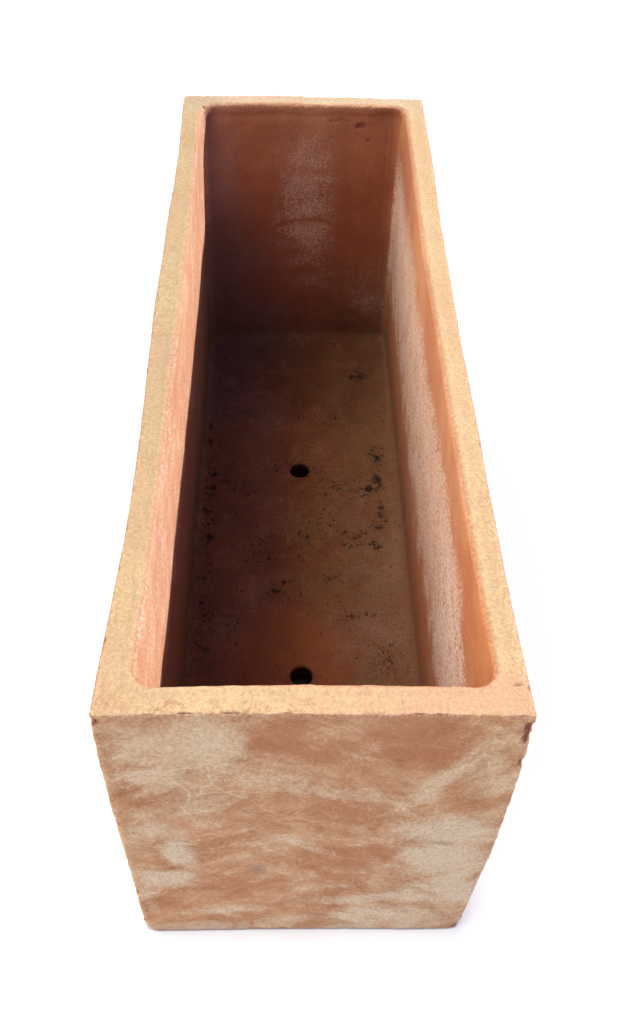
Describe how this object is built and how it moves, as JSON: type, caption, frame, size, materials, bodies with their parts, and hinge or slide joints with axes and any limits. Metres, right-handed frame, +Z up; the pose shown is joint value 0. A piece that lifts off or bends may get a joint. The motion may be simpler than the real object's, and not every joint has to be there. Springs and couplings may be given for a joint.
{
  "type": "trough planter",
  "caption": "Long rectangular hand-built terracotta trough planter, open on top, with thick slab walls, rounded inside seams and round drain holes through the floor.",
  "frame": {"origin": "centre of the underside, on the ground", "axes": "+X across the trough to its right side, +Y along its length towards the back wall, +Z up; the front wall is at -Y"},
  "size_m": [0.4, 1.17, 0.525],
  "materials": {
    "terracotta_wall": "matte, weathered, unglazed fired clay",
    "terracotta_floor": "matte, soil-stained, unglazed fired clay",
    "terracotta_coil": "matte, thumbed, unglazed fired clay"
  },
  "bodies": {
    "root": {"floor_slab": "terracotta_floor", "front_wall": "terracotta_wall", "back_wall": "terracotta_wall", "left_wall": "terracotta_wall", "right_wall": "terracotta_wall", "corner_coil_front_left": "terracotta_coil", "corner_coil_front_right": "terracotta_coil", "corner_coil_back_left": "terracotta_coil", "corner_coil_back_right": "terracotta_coil", "floor_coil_front": "terracotta_coil", "floor_coil_back": "terracotta_coil", "floor_coil_left": "terracotta_coil", "floor_coil_right": "terracotta_coil"}
  },
  "joints": []
}
